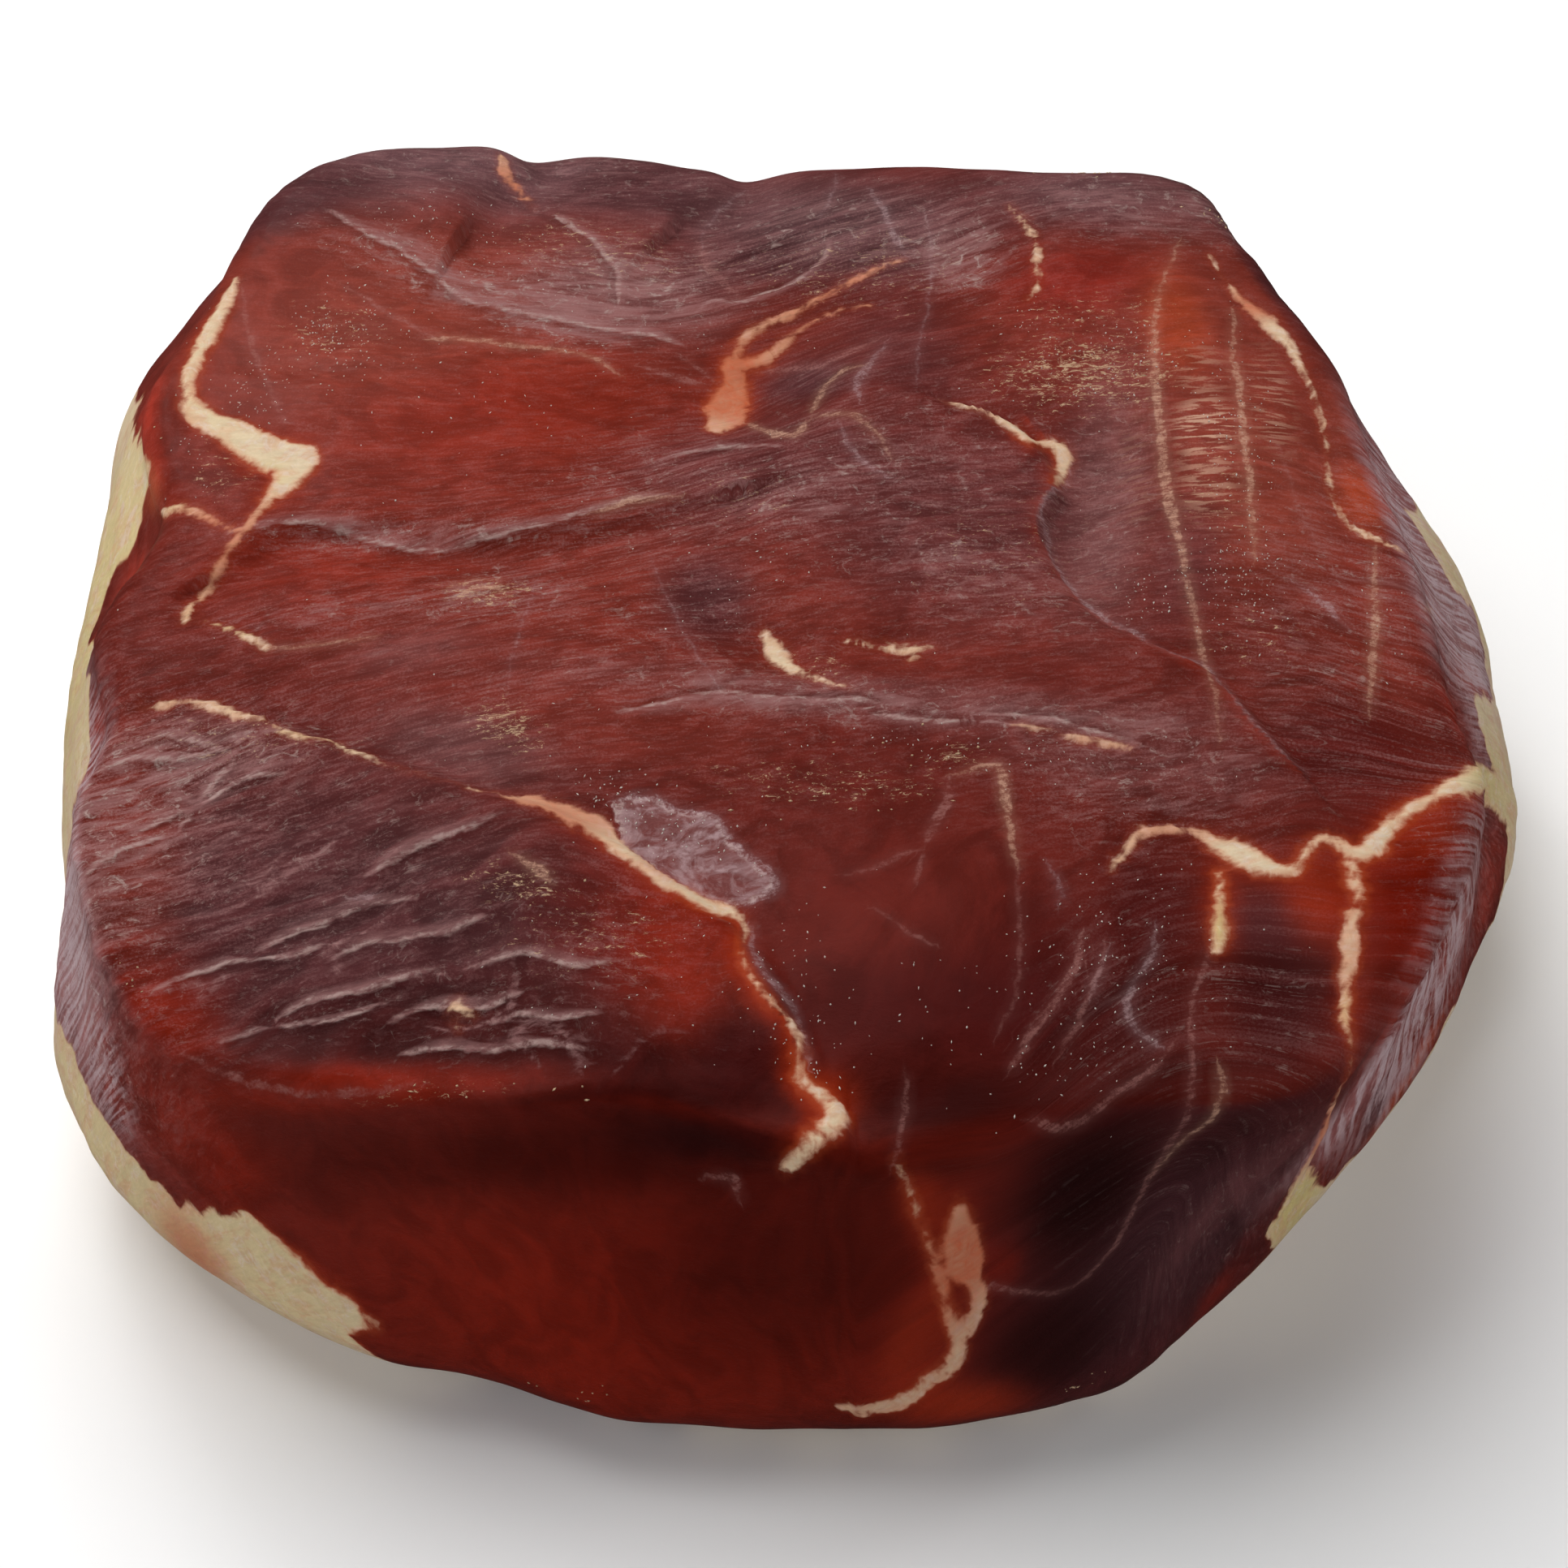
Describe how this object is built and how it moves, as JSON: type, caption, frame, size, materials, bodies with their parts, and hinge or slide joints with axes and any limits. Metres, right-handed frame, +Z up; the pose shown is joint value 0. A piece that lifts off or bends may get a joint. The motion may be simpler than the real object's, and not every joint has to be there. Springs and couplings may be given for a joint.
{
  "type": "boneless spanish ham",
  "caption": "Whole dry-cured ham with the bone taken out, pressed to a block with rounded corners, lying on its fat side with the trimmed dark red meat up.",
  "frame": {"origin": "middle of the bounding box on the flat face that the ham rests on", "axes": "+X to the right as the picture sees it, +Y away from the cut front wall, +Z up out of the meat side"},
  "size_m": [0.2816, 0.2606, 0.0939],
  "materials": {
    "ham": "moist cured meat: dark red with purple-grey bloom, cream and yellow fat seams, a cream fat cap round the lower side and underneath"
  },
  "bodies": {
    "root": {"ham": "ham"}
  },
  "joints": []
}
